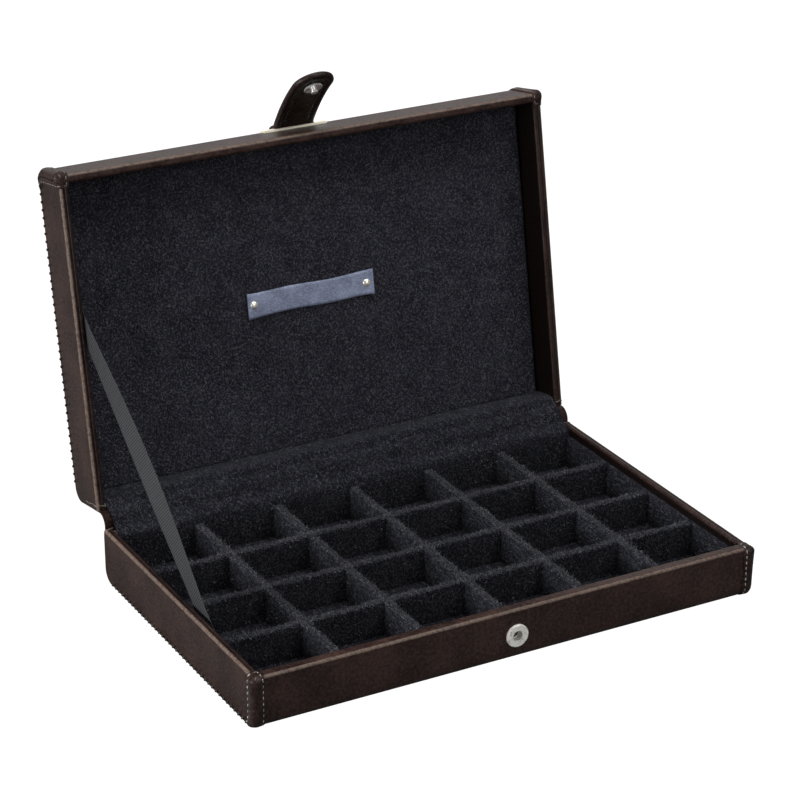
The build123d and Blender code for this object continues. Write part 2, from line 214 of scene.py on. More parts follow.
def leather(name, dark, light, rough, fold=None, lining=None, edges=()):
    """Brown leather. A fold is a line pressed in at a distance to both sides of the middle of
    the case and darkened there as painted shade, a lining is darker out to such a distance, and
    each edge is painted paler, partly as wear and partly as a painted highlight."""
    finish = Finish(name)
    place = finish.place()
    cloud = finish.noise(place, 55.0, 3.0)
    mottle = finish.noise(place, 640.0, 4.0, 0.65)
    pores = finish.add("TexVoronoi", Vector=place, Scale=1500.0)
    crease = finish.noise(finish.place((1, 0.12, 1), (0, 0, 0.6)), 190.0, 2.0)
    tone = (cloud * 0.36 + mottle * 0.64).step(0.36, 0.64)
    line = 1 - (crease - 0.5).size().step(0.0, 0.012)
    colour = finish.blend(tone, dark, light)
    height = mottle * 1.5 + pores * 0.5 + cloud * 4.0 - line * 0.3
    x, y, z = (finish.add("SeparateXYZ", Vector=place, out=k) for k in range(3))
    reach = x.size()
    if fold:
        press = 1 - (reach - fold).size().step(0.0001, 0.0006)
        height = height - press * 2.6
        # painted shade: the pressed line is also darkened in colour
        colour = finish.blend(press * 0.6, colour, groove_shade_brown)
    if lining:
        inside = 1 - reach.step(lining - 0.0001, lining + 0.0001)
        colour = finish.blend(inside, colour, lining_brown)
    for (a, b, c), offset in edges:
        # wear and painted highlight: a band along the rounded edge is painted paler
        wear_and_highlight = (reach * a + y * b + z * c).step(offset - wear_and_highlight_width, offset - wear_and_highlight_end)
        patchy = mottle.step(0.3, 0.6) * 0.5 + 0.35
        colour = finish.blend(wear_and_highlight * patchy, colour, wear_and_highlight_brown)
    return finish.shade(
        Base_Color=colour,
        Roughness=rough + (mottle - 0.5) * 0.3 + (cloud - 0.5) * 0.15,
        Specular_IOR_Level=0.15,
        Normal=finish.relief(height, 0.0002, 0.9))


def wear_and_highlight_edge(tray, out):
    """The rounded edge between the rim of a tray and its face in a direction, painted paler partly as
    wear and partly as a painted highlight.
    """
    middle = (half_x - rim_radius, -half_y + rim_radius, tray_height[tray] - rim_radius)
    way = (heading((0, 0, 1), tray) + heading(out, tray)) / sqrt(2)
    return way, float(way @ in_place(middle, tray)) + rim_radius


calf_dark, calf_light = (0.0078, 0.0038, 0.003), (0.0305, 0.0163, 0.0131)
# painted light: the front leathers are the same calf, drawn lighter
lit_front_dark, lit_front_light = (0.0115, 0.0056, 0.0045), (0.0435, 0.0235, 0.019)
calf_sheen, front_sheen = 0.36, 0.34
side_fold, side_lining = half_x - 0.0023, half_x - 0.0042

brown = leather("brown_leather", calf_dark, calf_light, calf_sheen)
faced = {}
for tray in tray_height:
    faced[tray, "front"] = leather(
        f"{tray}_front_leather", lit_front_dark, lit_front_light, front_sheen,
        edges=[wear_and_highlight_edge(tray, (0, -1, 0))])
    faced[tray, "side"] = leather(
        f"{tray}_side_leather", calf_dark, calf_light, calf_sheen, side_fold, side_lining,
        [wear_and_highlight_edge(tray, (1, 0, 0))])


def smooth(piece, turn=40):
    """Shade round forms smoothly and keep sharp edges."""
    piece.data.polygons.foreach_set("use_smooth", [True] * len(piece.data.polygons))
    piece.data.set_sharp_from_angle(angle=radians(turn))


def dress(name, material):
    """Give a node of the frame its material."""
    piece = nodes[name]
    piece.data.materials.clear()
    piece.data.materials.append(material)
    smooth(piece)


for name in nodes:
    if "leather" in name and not name.startswith("tab"):
        tray, wall = name.split("_")[:2]
        part = {"left": "side", "right": "side", "back": "back"}.get(wall, "front")
        dress(name, faced.get((tray, part), brown))

# Boards
# Plain grey board, cut to size and glued, fills the walls, the bottom and the lid. The
# leather is turned over it and hides all of it.

def board_finish():
    finish = Finish("grey_board")
    fleck = finish.noise(finish.place(), 900.0, 4.0)
    return finish.shade(Base_Color=finish.blend(fleck, (0.2, 0.17, 0.14), (0.4, 0.36, 0.31)),
                        Roughness=0.9, Normal=finish.relief(fleck, 0.0001))


board = board_finish()
for name in nodes:
    if "board" in name:
        dress(name, board)

# Corner bindings
# A strip of the same leather is folded round each upright front corner, drawn over the rim,
# and sewn down with a row of pale stitches along both edges. Its nose is a soft round roll.

def mesh(name, points, faces, material, body=None):
    """A piece of the scene, smooth, that rides on a body when one is given."""
    data = bpy.data.meshes.new(name)
    data.from_pydata(np.asarray(points).tolist(), [], np.asarray(faces).tolist())
    data.polygons.foreach_set("use_smooth", [True] * len(data.polygons))
    data.materials.append(material)
    piece = bpy.data.objects.new(name, data)
    scene.collection.objects.link(piece)
    if body:
        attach(piece, body)
    return piece


def skin(name, grid, material, body=None, wrap=(False, False)):
    """Smooth mesh through a grid of points, joined to itself where it wraps."""
    grid = np.asarray(grid, float)
    n, m = grid.shape[:2]
    index = np.arange(n * m).reshape(n, m)
    i = np.arange(n if wrap[0] else n - 1)
    j = np.arange(m if wrap[1] else m - 1)
    corners = [index[np.ix_((i + a) % n, (j + b) % m)] for a, b in ((0, 0), (0, 1), (1, 1), (1, 0))]
    faces = np.stack(corners, -1).reshape(-1, 4)
    return mesh(name, grid.reshape(-1, 3), faces, material, body)


def unit(vectors):
    return vectors / np.linalg.norm(vectors, axis=-1, keepdims=True)


def tube(name, path, radius, material, body):
    """Round cord along a path."""
    path = np.asarray(path, float)
    way = unit(np.gradient(path, axis=0))
    side = unit(np.cross(way, (0.31, 0.85, 0.42)))  # a direction that no path here takes
    other = np.cross(way, side)
    turn = np.linspace(0, 2 * pi, 9)[:-1, None]
    ring = np.cos(turn) * side[:, None] + np.sin(turn) * other[:, None]
    return skin(name, path[:, None] + ring * radius, material, body, wrap=(False, True))


end_leg, side_leg, nose = 0.0046, 0.0062, 0.0022
wall_x, wall_y = 0.0044, 0.006
strip_thick, strip_lift = 0.0007, 0.00004
rim_roll = 0.002
tuck_depth = 0.0011
foot_radius = 0.006
end_count, nose_count, side_count = 7, 9, 8
strip_count = end_count + nose_count + side_count
mirrored = {"right": 1, "left": -1}


def around_corner(out_x, out_y):
    """Plan of the front right corner at an offset, from the front leg to the side leg."""
    ring = nose + min(out_x, out_y)
    if ring > 0:
        turn = np.linspace(-pi / 2, 0, nose_count)
        bend = np.stack([half_x - nose + ring * np.cos(turn), -half_y + nose + ring * np.sin(turn)], -1)
    else:
        bend = np.repeat([[half_x + out_x, -half_y - out_y]], nose_count, 0)
    (first_x, first_y), (last_x, last_y) = bend[0], bend[-1]
    front = np.linspace(min(half_x - end_leg, first_x - 0.0002), first_x, end_count + 1)[:-1]
    side = np.linspace(last_y, -half_y + side_leg, side_count + 1)[1:]
    return np.concatenate([np.stack([front, np.full(end_count, first_y)], -1), bend,
                           np.stack([np.full(side_count, last_x), side], -1)])


strip_turn = np.concatenate([np.full(end_count, -pi / 2), np.linspace(-pi / 2, 0, nose_count),
                             np.zeros(side_count)])
strip_facing = np.stack([np.cos(strip_turn), np.sin(strip_turn)], -1)
fullness = np.sin(np.clip((np.arange(strip_count) - 2.0) / 18.5, 0, 1) * pi)


def foot_drop(z):
    """How far the front face turns under at a height."""
    curve = foot_radius - np.sqrt(np.maximum(foot_radius ** 2 - (foot_radius - z) ** 2, 0))
    return np.where(z < foot_radius, curve, 0)


def binding_grid(height):
    """Outside of a binding, from its foot up the corner, over the rim and just inside."""
    rise = [(0.0, 0.0, 0.0005), (strip_thick * 0.7, strip_thick * 0.7, 0.0007)]
    rise += [(strip_thick, strip_thick, 0.0012)]
    rise += [(strip_thick, strip_thick, z) for z in np.linspace(0.002, height - rim_roll, 12)]
    for turn in np.linspace(0, pi / 2, 8)[1:]:
        out = strip_thick - (rim_roll + strip_thick - strip_lift) * (1 - cos(turn)) * 0.98
        rise.append((out, out, height - rim_roll + (rim_roll + strip_lift) * sin(turn)))
    rise += [(-wall_x * 0.8, -wall_y * 0.75, height + strip_lift),
             (-wall_x + 0.0003, -wall_y + 0.0004, height),
             (-wall_x - 0.0001, -wall_y - 0.0001, height - 0.0008)]
    rows = []
    for out_x, out_y, z in rise:
        below_rim = np.sqrt(np.clip((height - z) / rim_roll, 0, 1))
        full = below_rim * fullness * (0.0004 + 0.0007 * (z / height) ** 2)
        plan = around_corner(out_x, out_y) + full[:, None] * strip_facing
        rows.append(np.column_stack([plan, np.full(strip_count, z)]))
    grid = np.array(rows)
    grid[..., 1] += foot_drop(grid[..., 2])
    return grid


def tuck(grid):
    """Turn the two long edges of a binding down onto the leather under it."""
    first, last = grid[:, :1].copy(), grid[:, -1:].copy()
    first[..., 1] += tuck_depth
    last[..., 0] -= tuck_depth
    return np.concatenate([first, grid, last], 1)


for tray, height in tray_height.items():
    for side, sign in mirrored.items():
        grid = in_place(tuck(binding_grid(height)) * (sign, 1, 1), tray)
        piece = skin(f"{tray}_{side}_binding_strip", grid, brown, tray)
        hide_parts(f"{tray}_{side}_binding")

# Crease of the lid's left binding
# The strip has opened a little along its nose, where the lid is gripped, and a thin dark cord
# laid along it is painted shadow in the slit.

crease_radius = 0.00032
nose_line = binding_grid(tray_height["lid"])[3:14, strip_count - side_count] * (-1, 1, 1)
nose_line[:, 0] -= 0.0001 * np.sin(np.arange(len(nose_line)) * 0.9)
# painted shadow: near-black leather for the cord in the slit
crease_shade = leather("crease_shade", (0.001, 0.0005, 0.0004), (0.002, 0.001, 0.0008), 0.7)
tube("lid_left_binding_crease", in_place(nose_line, "lid"), crease_radius, crease_shade,
     "lid")

# Stitches of the bindings
# Waxed grey thread in short stitches, set a little proud of the leather. On the lid the same
# thread is drawn darker and browner.

def thread_finish(name, dark, light):
    finish = Finish(name)
    along = finish.add("SeparateXYZ", Vector=finish.place((1, 1, 1), (0.7, 0.4, 0.5)), out=2)
    twist = (along * 9000.0).sine()
    wear = finish.noise(finish.place(), 500.0).step(0.35, 0.65)
    return finish.shade(Base_Color=finish.blend(wear, dark, light), Roughness=0.6,
                        Normal=finish.relief(twist, 0.00005, 0.6))


threads = {"base": thread_finish("grey_thread", (0.12, 0.114, 0.108), (0.34, 0.335, 0.32)),
           "lid": thread_finish("darker_lid_thread", (0.05, 0.042, 0.037), (0.16, 0.145, 0.13))}
hoops, around = 7, 6  # points of one stitch, along it and round it


def stitch_faces(count):
    """Faces of a row of stitches, each of hoops joined by four-sided faces."""
    i, j = np.meshgrid(np.arange(hoops - 1), np.arange(around), indexing="ij")
    after = (j + 1) % around
    quad = np.stack([i * around + j, i * around + after, (i + 1) * around + after,
                     (i + 1) * around + j], -1)
    first = np.arange(count)[:, None, None] * hoops * around
    return (quad.reshape(1, -1, 4) + first).reshape(-1, 4)


def stitches(name, middles, along, out, length, width, height, material, body):
    """One mesh of small rounded stitches, each lying along a direction on a surface."""
    along, out = unit(along), unit(out)
    across = np.cross(along, out)
    steps = np.linspace(-1, 1, hoops)
    ring = np.linspace(0, 2 * pi, around + 1)[:-1]
    girth = np.sqrt(1 - np.abs(steps) ** 3.5)[:, None]
    shape = np.stack([np.repeat(steps[:, None], around, 1) * length / 2,
                      girth * np.cos(ring) * width / 2, girth * np.sin(ring) * height / 2], -1)
    points = middles[:, None, None]
    for k, way in enumerate((along, across, out)):
        points = points + shape[None, ..., k:k + 1] * way[:, None, None]
    faces = stitch_faces(len(middles))
    return mesh(name, points.reshape(-1, 3), faces, material, body)


def path_steps(path, pitch):
    """Middles and directions at an even pitch along a path."""
    path = np.asarray(path, float)
    run = np.concatenate([[0], np.cumsum(np.linalg.norm(np.diff(path, axis=0), axis=1))])
    count = int(run[-1] / pitch)
    at = (np.arange(count) + 0.5) * run[-1] / count

    def pick(s):
        return np.stack([np.interp(s, run, path[:, k]) for k in range(3)], -1)

    return pick(at), pick(at + pitch / 8) - pick(at - pitch / 8)


stitch_pitch, stitch_length, stitch_width, stitch_height = 0.0027, 0.0018, 0.0006, 0.0005
stitch_sunk = 0.00014  # below the rim, so that the lid shuts
rim_turn = 0.0024  # below the rim, where the rows start to turn over it
front_row = (0, (0.0010, 0, 0), (0, -1, 0))  # its edge of the strip, its place in from it, its face
side_row = (-1, (0, -0.0011, 0), (1, 0, 0))


def binding_stitches(tray, side):
    """Both rows of stitches of one binding, up its faces and over the rim."""
    height = tray_height[tray]
    rows = binding_grid(height)[2:-1]
    middles, along, out = [], [], []
    for column, shift, normal in (front_row, side_row):
        spots, runs = path_steps(rows[:, column] + np.array(shift), stitch_pitch)
        lean = np.clip((spots[:, 2:] - height + rim_turn) / rim_turn, 0, 1)
        spots[:, 2] = np.minimum(spots[:, 2], height - stitch_sunk)
        middles.append(spots)
        along.append(runs)
        out.append(np.array(normal) * (1 - lean) + np.array((0, 0, 1)) * lean)
    middles, along, out = (np.concatenate(v) * (mirrored[side], 1, 1) for v in (middles, along, out))
    stitches(f"{tray}_{side}_binding_stitches", in_place(middles, tray), heading(along, tray),
             heading(out, tray), stitch_length, stitch_width, stitch_height, threads[tray], tray)


for tray in tray_height:
    for side in mirrored:
        binding_stitches(tray, side)

# Cut ends of the side leathers
# Beside the hinge the side leathers stop in a raw edge, cut square and left undyed, which
# shows as a pale line down the face and over the rim.

raw_edge = thread_finish("raw_edge", (0.055, 0.042, 0.035), (0.12, 0.098, 0.083))
raw_radius = 0.00028
cut_ends = {"base": (half_y - 0.0009, 0.0012), "lid": (half_y - 0.0022, 0.011)}  # place and drop


def cut_edge(tray, side):
    """The raw edge, from a drop below the rim up the face and over the rim."""
    top = tray_height[tray]
    end_y, drop = cut_ends[tray]
    cut = [(half_x, end_y, z) for z in np.linspace(top - rim_radius - drop, top - rim_radius, 8)]
    for turn in np.linspace(0, pi / 2, 6)[1:]:
        out, up = rim_radius * cos(turn), rim_radius * sin(turn)
        cut.append((half_x - rim_radius + out, end_y, top - rim_radius + up))
    cut += [(x, end_y, top) for x in np.linspace(half_x - 0.0018, half_x - 0.0042, 5)]
    cut = np.array(cut)
    cut[:, 1] += 0.0003 * np.sin(np.arange(len(cut)) * 0.9)
    path = in_place(cut * (mirrored[side], 1, 1), tray)
    tube(f"{tray}_{side}_cut_edge", path, raw_radius, raw_edge, tray)


for tray in tray_height:
    for side in mirrored:
        cut_edge(tray, side)

# Whipped edges
# Dark thread whips the edge between each side and the bottom of the base, and between each
# side and the top of the lid.

dark_thread = thread_finish("dark_thread", (0.0035, 0.0026, 0.0022), (0.010, 0.0074, 0.0064))
loop_pitch, loop_radius = 0.0036, 0.00115
loop_inset, loop_height = 0.00085, 0.0009  # of a loop's middle, from the side and the bottom
whipped = {"base": ((-0.9, 0.6), 0.00072), "lid": ((-0.3, 1.5), 0.00055)}  # arc and thickness


def whipping(tray, side):
    """A row of small loops over a long edge, as short tubes bent in an arc."""
    arc, thick = whipped[tray]
    low, high = -half_y + side_leg, half_y - 0.007
    count = int((high - low) / loop_pitch)
    at = low + (np.arange(count) + 0.5) * (high - low) / count
    turn = np.linspace(*arc, hoops)[:, None]
    ring = np.linspace(0, 2 * pi, around + 1)[:-1]
    swell = thick * np.sin(np.linspace(0.2, pi - 0.2, hoops))[:, None] ** 0.7
    reach = loop_radius + swell * np.cos(ring)
    x = half_x - loop_inset + reach * np.cos(turn)
    y = swell * np.sin(ring) * 1.25 + np.linspace(-0.0005, 0.0005, hoops)[:, None]
    z = np.maximum(loop_height - reach * np.sin(turn), 0.0001)
    points = np.stack([x, y, z], -1) + np.stack([0 * at, at, 0 * at], -1)[:, None, None]
    points = in_place(points.reshape(-1, 3) * (mirrored[side], 1, 1), tray)
    mesh(f"{tray}_{side}_whipping", points, stitch_faces(count), dark_thread, tray)


for side in mirrored:
    for tray in tray_height:
        whipping(tray, side)

# Velvet
# Short-pile velvet, almost black with a cold blue cast. The pile lies in soft patches, and
# many stray pale fibres stand out of it, most of all along the tops of the dividers.

stroke_turns = ((0.5, 0.2, 0.4), (-0.6, 0.5, 1.3), (0.9, -0.7, 2.2), (0.1, 1.2, 2.9))


def velvet_finish(name, dark, light):
    finish = Finish(name)
    place = finish.place()
    brushed = finish.noise(finish.place((1, 1, 1), (0.3, 0.5, 0.2)), 105.0, 3.0, 0.6)
    tufts = finish.noise(place, 620.0, 3.0, 0.7)
    strokes = 0.0
    for turn in stroke_turns:
        stroke = finish.noise(finish.place((1, 0.34, 1), turn), 1000.0, 1.0)
        strokes = stroke.math("MAXIMUM", stroke.step(0.585, 0.76), strokes)
    tone = strokes * (0.55 + brushed * 0.7) + tufts.step(0.3, 0.7) * 0.16
    tone = tone + brushed.step(0.36, 0.64) * 0.09
    return finish.shade(
        Base_Color=finish.blend(tone, dark, light), Roughness=0.95, Specular_IOR_Level=0.1,
        Sheen_Weight=0.04, Sheen_Roughness=0.45, Sheen_Tint=(0.75, 0.8, 1.0),
        Normal=finish.relief(tufts * 1.6 + strokes * 0.6, 0.0008, 1.0))


def fibre_finish():
    finish = Finish("stray_fibres")
    tone = finish.add("Attribute", {"attribute_name": "tone"}, out=2)
    return finish.shade(Base_Color=finish.blend(tone, (0.018, 0.018, 0.024), (0.20, 0.20, 0.22)),
                        Roughness=0.7, Sheen_Weight=0.12)


# One velvet in two copies: the lid panel's is painted lighter as painted light, and the darker copy for
# the tray, its dividers and the back cloth is painted shade.
velvet = velvet_finish("velvet", (0.0046, 0.0046, 0.0086), (0.070, 0.070, 0.085))
shaded_velvet = velvet_finish("shaded_velvet", (0.0019, 0.0019, 0.0041), (0.036, 0.0365, 0.0445))
fibre = fibre_finish()
rng = np.random.default_rng(11)


def nap(name, patches, per_square_cm, lift, length, body):
    """Stray fibres over flat patches, each a thin bent blade."""
    roots, ups = [], []
    for origin, u, v in patches:
        origin, u, v = (np.array(a, float) for a in (origin, u, v))
        normal = np.cross(u, v)
        count = max(int(np.linalg.norm(normal) * 1e4 * per_square_cm), 1)
        a, b = rng.random((2, count, 1))
        roots.append(origin + a * u + b * v)
        ups.append(np.repeat([unit(normal)], count, 0))
    roots, ups = np.concatenate(roots), np.concatenate(ups)
    count = len(roots)
    stray = unit(rng.normal(size=(count, 3)))
    first = unit(ups * lift + stray * (1.25 - lift))
    second = unit(first * 0.6 + unit(rng.normal(size=(count, 3))) * 0.55 + ups * 0.05)
    size = length * rng.uniform(0.5, 1.25, (count, 1))
    side = np.cross(first, unit(rng.normal(size=(count, 3))))
    width = side * rng.uniform(0.00004, 0.000085, (count, 1))
    knee = roots + first * size * 0.5
    tip = knee + second * size * 0.5
    points = np.stack([roots - width, roots + width, knee - width, knee + width,
                       tip - width * 0.3, tip + width * 0.3], 1)
    faces = np.array([[0, 1, 3, 2], [2, 3, 5, 4]]) + np.arange(count)[:, None, None] * 6
    piece = mesh(name, points.reshape(-1, 3), faces.reshape(-1, 4), fibre, body)
    tone = np.repeat(rng.random(count) ** 2.2, 6)
    piece.data.attributes.new("tone", "FLOAT", "POINT").data.foreach_set("value", tone)
    return piece


# Tray of the base
# A padded floor, velvet on all four walls below the leather rims, and a grid of padded
# dividers that halve into each other.

def middle_of(node):
    return sum(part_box(node), Vector()) / 2


for name in nodes:
    if "divider" in name or "liner" in name or name == "base_floor_pad":
        dress(name, shaded_velvet)

columns = sorted(middle_of(f"cross_divider_{k}").x for k in range(1, 6))
rows = sorted(middle_of(f"long_divider_{k}").y for k in range(1, 4))
(left, near, floor_z), (right, far, top_z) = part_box("long_divider_1")
front, back = (corner.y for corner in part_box("cross_divider_1"))
half = (far - near) / 2
ridge_z = top_z - 0.0004
along, deep = (right - left, 0, 0), (0, back - front, 0)
shallow, up = (0, front - back, 0), (0, 0, top_z - floor_z)
ridges = [((left, y - half * 0.95, ridge_z), along, (0, half * 1.9, 0)) for y in rows]
ridges += [((x - half * 0.95, front, ridge_z), (half * 1.9, 0, 0), deep) for x in columns]
nap("divider_ridge_fibres", ridges, 420, 0.55, 0.0015, "base")
walls = [((left, y - half, floor_z), along, up) for y in rows]
walls += [((x + half, front, floor_z), deep, up) for x in columns]
walls += [((x - half, back, floor_z), shallow, up) for x in columns]
walls += [((right, back, floor_z), shallow, up), ((left, front, floor_z), deep, up)]
tray_floor = [((left, front, floor_z), along, deep)]
nap("tray_fibres", walls + tray_floor, 30, 0.45, 0.0014, "base")

# Lid lining
# A foam panel wrapped in the same velvet fills the lid. It sinks at its edges and is not
# quite flat.

panel_near, panel_far, panel_half = -0.0738, 0.0748, 0.1205
panel_face = 0.0095
panel_round, panel_sink, panel_wave = 0.003, 0.0034, 0.00022


def panel_grid():
    """The face of the panel, with close rows where its edges turn down."""
    xs = np.concatenate([np.linspace(-1, -0.965, 9)[:-1], np.linspace(-0.965, 0.965, 150),
                         np.linspace(0.965, 1, 9)[1:]])
    ys = np.concatenate([np.linspace(0, 0.03, 8)[:-1], np.linspace(0.03, 0.97, 100),
                         np.linspace(0.97, 1, 8)[1:]])
    x = xs[:, None] * panel_half + 0 * ys
    y = panel_near + 0.0001 + ys * (panel_far - panel_near - 0.0002) + 0 * x
    inset = np.minimum(np.minimum(panel_half - np.abs(x), y - panel_near), panel_far - y)
    edge = np.clip(inset / panel_round, 0, 1)
    broad = np.sin(x * 61 + y * 23) * np.sin(y * 74 - x * 31 + 1.0)
    fine = np.sin(x * 140 + 2.0) * np.sin(y * 120 + 0.5)
    wave = (broad + fine) * 0.5
    sink = panel_sink * (1 - np.sqrt(1 - (1 - edge) ** 2))
    return np.stack([x, y, panel_face - sink - panel_wave * (wave + 1) * edge], -1)


panel = skin("lid_velvet_panel", in_place(panel_grid(), "lid"), velvet, "lid")
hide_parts("lid_padding")
panel_patch = (in_place((-0.119, panel_near, 0.0093), "lid"),
               heading((0, panel_far - panel_near, 0), "lid"), heading((0.238, 0, 0), "lid"))
nap("lid_panel_fibres", [panel_patch], 45, 0.3, 0.0017, "lid")

# Hinge
# A leather spine is glued to the backs of the base and the lid, and a cloth of velvet covers
# it inside. Both bend about the same line.

hinge_reach = pivot[1] - half_y
spine_half, spine_thick = 0.124, 0.001
spine_on_base, spine_on_lid = 0.0076, 0.0067
open_turn = pi - open_angle


def bend_path(radius):
    """Path in Y and Z from the back of the base round the hinge line to the back of the lid."""
    turn = np.linspace(pi, open_turn, 26)
    arc = np.stack([pivot[1] + radius * np.cos(turn), pivot[2] + radius * np.sin(turn)], -1)
    lid_way = np.array([sin(turn[-1]), -cos(turn[-1])])
    on_base = arc[0] + np.array([0, -1]) * np.linspace(spine_on_base, 0, 6)[:-1, None]
    on_lid = arc[-1] + lid_way * np.linspace(0, spine_on_lid, 6)[1:, None]
    return np.concatenate([on_base, arc, on_lid])


def spread(path, xs):
    """A path in Y and Z, repeated at places across the case."""
    return np.stack([np.column_stack([np.full(len(path), x), path]) for x in xs])


def spine_strip():
    """Closed strip between two paths, running the length of the hinge."""
    loop = np.concatenate([bend_path(hinge_reach - 0.00005), bend_path(hinge_reach - spine_thick)[::-1]])
    xs = np.linspace(-spine_half, spine_half, 60)
    grid = spread(loop, xs)
    sag = 0.00012 * np.sin(xs * 210) * np.sin(xs * 77 + 1)
    grid[..., 2] += sag[:, None]
    piece = skin("leather_spine", grid, brown, wrap=(False, True))
    work = bmesh.new()
    work.from_mesh(piece.data)
    work.verts.ensure_lookup_table()
    for first in (0, (len(xs) - 1) * len(loop)):
        work.faces.new([work.verts[first + k] for k in range(len(loop))])
    work.to_mesh(piece.data)
    work.free()
    return piece


def back_path():
    """The cloth up the back of the tray, over both rims and down the back of the lid."""
    base_y, base_turn, base_round = half_y - 0.0074, 0.0222, 0.0032
    low = [(base_y, z) for z in np.linspace(0.0052, base_turn, 9)]
    for turn in np.linspace(0, pi / 2, 8)[1:]:
        low.append((base_y + base_round * (1 - cos(turn)), base_turn + base_round * sin(turn)))
    radius = hinge_reach + 0.0010
    over = [(pivot[1] + radius * cos(turn), pivot[2] + radius * sin(turn))
            for turn in np.linspace(pi, open_turn, 20)[2:-2]]
    lid_y, lid_round = half_y - 0.0048, 0.003
    high = []
    for turn in np.linspace(pi / 2, 0, 8)[:-1]:
        high.append((lid_y + lid_round * (1 - cos(turn)), lid_round * sin(turn) - lid_round))
    high += [(lid_y, -depth) for depth in np.linspace(0.0155, 0.0032, 8)[::-1]]
    top = opened(np.array([(0, y, lid_rim - z) for y, z in high]))[:, 1:]
    path = np.concatenate([low, over, top])
    for _ in range(4):  # the cloth rounds off its corners
        path[1:-1] = path[1:-1] * 0.5 + (path[:-2] + path[2:]) * 0.25
    return path


spine = spine_strip()
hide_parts("hinge_spine")
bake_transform(spine)

path = back_path()
xs = np.linspace(-0.1204, 0.1204, 160)
grid = spread(path, xs)
grid[..., 1] += 0.00025 * np.sin(xs * 95 + 1)[:, None] * np.sin(np.linspace(0, 9, len(path)))
cloth = skin("back_velvet", grid, shaded_velvet)
steps = np.diff(path, axis=0)
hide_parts("hinge_lining", "base_back_liner", "lid_back_liner")
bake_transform(cloth)
spans = [((-0.12, y, z), (0.24, 0, 0), (0, dy, dz)) for (y, z), (dy, dz) in zip(path, steps)]
strays = nap("back_velvet_fibres", spans, 45, 0.35, 0.0015, None)
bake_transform(strays)

# Ribbon stay
# A flat black ribbon with a fine cross rib holds the lid open. It lies flat against the wall
# at both ends and turns a little in between.

rib_pitch = 0.00125
ribbon_width, ribbon_thick, tucked = 0.011, 0.0006, 0.015
ribbon_twist, ribbon_bow = radians(17), 0.0007


def ribbon_finish():
    finish = Finish("ribbed_ribbon")
    along = finish.add("Attribute", {"attribute_name": "along"}, out=2)
    rib = ((along * (2 * pi / rib_pitch)).sine() * 0.5 + 0.5) ** 1.6
    # painted light and shade: the crests of the ribs are drawn lighter and the furrows darker
    tone = rib * 0.75 + finish.noise(finish.place(), 300.0, 3.0) * 0.25
    return finish.shade(
        Base_Color=finish.blend(tone, (0.0012, 0.0014, 0.0022), (0.027, 0.029, 0.035)),
        Roughness=0.75, Normal=finish.relief(rib, 0.0003, 1.0))


def blunt(values, power):
    """Values drawn out towards -1 and 1, for a flat section with round edges."""
    return np.sign(values) * np.abs(values) ** power


low_end = np.array([-0.11885, -0.013, tray_height["base"]])
high_end = opened(np.array([-0.12005, half_y - 0.083, lid_rim]))
length = np.linalg.norm(high_end - low_end)
run = (high_end - low_end) / length
level = np.cross(run, (0, 0, 1))
level = level / np.linalg.norm(level)
level = level * np.sign(level[0])
rise = np.cross(level, run)
rise = rise * np.sign(rise[2])
at = np.linspace(-tucked, length + tucked, 150)
free = np.sin(np.clip(at / length, 0, 1) * pi)
twist = (ribbon_twist * free ** 1.3)[:, None]
ring = np.linspace(0, 2 * pi, 17)[:-1]
across = ribbon_width / 2 * blunt(np.cos(ring), 0.6)
thick = ribbon_thick / 2 * blunt(np.sin(ring), 0.8)
wide = np.cos(twist) * rise + np.sin(twist) * level
deep = np.cos(twist) * level - np.sin(twist) * rise
bow = ribbon_bow * free[:, None] + np.abs(np.sin(twist)) * 0.0017
grid = (low_end + at[:, None, None] * run + across[None, :, None] * wide[:, None]
        + thick[None, :, None] * deep[:, None] + bow[..., None] * level)
ribbon = skin("ribbon", grid, ribbon_finish(), wrap=(False, True))
ribbon.data.attributes.new("along", "FLOAT", "POINT").data.foreach_set("value", np.repeat(at, len(ring)))
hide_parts("ribbon_stay")
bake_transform(ribbon)

# Label strip
# A bare strip of blue-grey leather is laid across the middle of the lid panel. It is held at
# its ends by two small domed rivets, and waves a little between them.

label_half, label_half_width, label_middle = 0.0334, 0.0057, 0.0012
label_rise = [0.0008] * 10 + [0.0005] + [0.0001] * 10 + [0.0005]


def label_finish():
    finish = Finish("label_leather")
    place = finish.place()
    fibres = finish.noise(finish.place((1, 1, 3)), 900.0, 4.0, 0.65)
    worn = finish.noise(place, 90.0, 3.0)
    tone = (fibres * 0.6 + worn * 0.4).step(0.35, 0.7)
    return finish.shade(Base_Color=finish.blend(tone, (0.085, 0.1, 0.155), (0.30, 0.34, 0.475)),
                        Roughness=0.62, Normal=finish.relief(fibres, 0.0002, 0.8))


def label_grid():
    """The strip as a flat loop round its two faces, at places along it."""
    xs = np.linspace(-1, 1, 40)[:, None]
    ys = np.linspace(-1, 1, 10)
    loop = np.concatenate([ys, [1.01], ys[::-1], [-1.01]])
    x = xs * label_half + 0 * loop
    y = label_middle + loop * (label_half_width + 0.0005 * np.abs(xs) ** 6) + 0.0003 * np.sin(xs * 5)
    z = panel_face + np.array(label_rise)[None] - 0.0001 + 0.0006 * np.abs(xs) ** 8
    return np.stack([x, y, z], -1)


